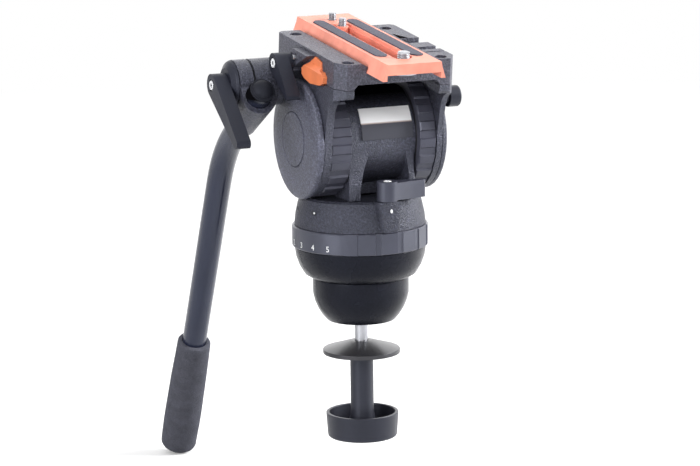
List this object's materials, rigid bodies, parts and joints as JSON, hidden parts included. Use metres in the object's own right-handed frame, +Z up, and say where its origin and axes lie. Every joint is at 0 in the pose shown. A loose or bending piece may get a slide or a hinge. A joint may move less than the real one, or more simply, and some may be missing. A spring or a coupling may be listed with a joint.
{
  "type": "fluid video head",
  "caption": "Fluid video head on a half ball, with tilting platform, sliding camera plate, drag rings, locks and a bent pan handle with foam grip.",
  "frame": {"origin": "centre of the levelling ball, in the plane of the tripod bowl's rim", "axes": "+Z up along the pan axis, -Y to the front, +X across, with the pan handle on the -X side; at rest the platform is 6.2 degrees nose down, as pictured"},
  "size_m": [0.1734, 0.3163, 0.3761],
  "materials": {
    "casting": "black textured satin paint on aluminium castings",
    "deck_paint": "dark grey satin paint",
    "ring_paint": "black satin",
    "lever_black": "black, fine texture",
    "orange_anodised": "orange anodised, satin",
    "orange_plastic": "orange moulded plastic",
    "pad_rubber": "dark grey rubber",
    "foam": "black foam rubber",
    "tube_paint": "blue-black gloss",
    "knob_plastic": "dark grey plastic",
    "steel": "bright steel",
    "dark_steel": "dark satin metal",
    "label": "light grey plate, left bare",
    "bronze": "machined bronze",
    "cartridge_metal": "machined aluminium"
  },
  "bodies": {
    "base": {"half_ball": "casting", "tie_down_stud": "steel", "clamp_washer": "dark_steel", "lower_housing": "casting", "pan_spindle": "steel", "pan_fluid_cartridge": "cartridge_metal"},
    "tie_down": {"tie_down_knob": "knob_plastic"},
    "pan_head": {"pan_dome": "casting", "pan_bearing": "steel", "pan_drag_drum": "bronze", "tilt_housing": "casting", "name_plate": "label", "tilt_bearing_left": "steel", "tilt_bearing_right": "steel", "tilt_fluid_cartridge": "cartridge_metal", "tilt_drag_drum": "dark_steel", "counterbalance_drum": "dark_steel", "tilt_drag_discs": "bronze", "counterbalance_spring": "steel"},
    "pan_ring": {"pan_drag_ring": "ring_paint"},
    "pan_lever": {"pan_lock_lever": "lever_black", "pan_lock_screw": "steel"},
    "tilt_ring": {"tilt_drag_ring": "ring_paint"},
    "balance_ring": {"counterbalance_ring": "ring_paint"},
    "platform": {"tilt_axle": "steel", "platform_deck": "deck_paint", "side_arm_left": "casting", "side_arm_right": "casting", "deck_screw_1": "dark_steel", "deck_screw_2": "dark_steel", "deck_screw_3": "dark_steel", "deck_screw_4": "dark_steel", "side_cover_left": "casting", "side_cover_right": "casting", "inset_plate_left": "lever_black", "inset_plate_right": "lever_black", "plate_stop_pin": "steel", "handle_bracket": "casting", "clamp_bolt": "steel"},
    "tilt_knob": {"tilt_lock_knob": "knob_plastic"},
    "plate": {"camera_plate": "orange_anodised", "plate_pad_left": "pad_rubber", "plate_pad_right": "pad_rubber"},
    "front_screw": {"camera_screw_front": "steel"},
    "rear_screw_1": {"camera_screw_rear_1": "steel"},
    "rear_screw_2": {"camera_screw_rear_2": "steel"},
    "plate_lever": {"plate_lock_lever": "lever_black", "plate_lock_screw": "steel"},
    "jaw": {"plate_lock_jaw": "dark_steel"},
    "catch": {"safety_catch": "orange_plastic"},
    "clamp": {"handle_clamp": "casting", "clamp_collar": "lever_black"},
    "handle_lever": {"clamp_lever": "lever_black", "clamp_lever_screw": "steel"},
    "handle": {"handle_tube": "tube_paint", "handle_end_cap": "knob_plastic", "foam_grip": "foam"}
  },
  "joints": [
    {"name": "tie_down_turn", "type": "hinge", "parent": "base", "child": "tie_down", "pos_m": [0, 0, -0.11], "axis": [0, 0, 1], "continuous": true},
    {"name": "pan", "type": "hinge", "parent": "base", "child": "pan_head", "pos_m": [0, 0, 0.06], "axis": [0, 0, 1], "continuous": true},
    {"name": "pan_drag_setting", "type": "hinge", "parent": "pan_head", "child": "pan_ring", "pos_m": [0, 0, 0.04], "axis": [0, 0, 1], "range_deg": [-18, 54]},
    {"name": "pan_lock_swing", "type": "hinge", "parent": "pan_head", "child": "pan_lever", "pos_m": [0.0026, -0.0463, 0.08], "axis": [0, 0, 1], "range_deg": [-45, 0]},
    {"name": "tilt_drag_setting", "type": "hinge", "parent": "pan_head", "child": "tilt_ring", "pos_m": [-0.033, 0, 0.1171], "axis": [1, 0, 0], "range_deg": [-60, 60]},
    {"name": "counterbalance_setting", "type": "hinge", "parent": "pan_head", "child": "balance_ring", "pos_m": [0.038, 0, 0.1171], "axis": [1, 0, 0], "range_deg": [-60, 60]},
    {"name": "tilt", "type": "hinge", "parent": "pan_head", "child": "platform", "pos_m": [0, 0, 0.1171], "axis": [1, 0, 0], "range_deg": [-81, 78]},
    {"name": "tilt_lock_turn", "type": "hinge", "parent": "platform", "child": "tilt_knob", "pos_m": [0.055, -0.04155, 0.14769], "axis": [1, 0, 0], "range_deg": [-120, 0]},
    {"name": "plate_slide", "type": "slide", "parent": "platform", "child": "plate", "axis": [0, 0.9942, 0.108], "range_m": [-0.04, 0.04]},
    {"name": "front_screw_turn", "type": "hinge", "parent": "plate", "child": "front_screw", "pos_m": [0, -0.08303, 0.18141], "axis": [0, -0.108, 0.9942], "continuous": true},
    {"name": "rear_screw_1_turn", "type": "hinge", "parent": "plate", "child": "rear_screw_1", "pos_m": [0, 0.04929, 0.19578], "axis": [0, -0.108, 0.9942], "continuous": true},
    {"name": "rear_screw_2_turn", "type": "hinge", "parent": "plate", "child": "rear_screw_2", "pos_m": [0, 0.02991, 0.19368], "axis": [0, -0.108, 0.9942], "continuous": true},
    {"name": "plate_lock_swing", "type": "hinge", "parent": "platform", "child": "plate_lever", "pos_m": [-0.06, 0.00371, 0.17554], "axis": [1, 0, 0], "range_deg": [-60, 0]},
    {"name": "jaw_slide", "type": "slide", "parent": "platform", "child": "jaw", "axis": [1, 0, 0], "range_m": [-0.0005, 0]},
    {"name": "catch_press", "type": "slide", "parent": "platform", "child": "catch", "axis": [1, 0, 0], "range_m": [0, 0.0025], "stiffness_N_per_m": 400},
    {"name": "handle_angle", "type": "hinge", "parent": "platform", "child": "clamp", "pos_m": [-0.077, 0.02871, 0.15834], "axis": [1, 0, 0], "range_deg": [-30, 90]},
    {"name": "clamp_lever_swing", "type": "hinge", "parent": "clamp", "child": "handle_lever", "pos_m": [-0.103, 0.02871, 0.15834], "axis": [1, 0, 0], "range_deg": [-90, 0]},
    {"name": "handle_reach", "type": "slide", "parent": "clamp", "child": "handle", "axis": [0, 0.8208, -0.5712], "range_m": [-0.018, 0.005]}
  ],
  "couplings": [
    {"joint": "jaw_slide", "follows": "plate_lock_swing", "m_per_rad": 0.00047}
  ]
}
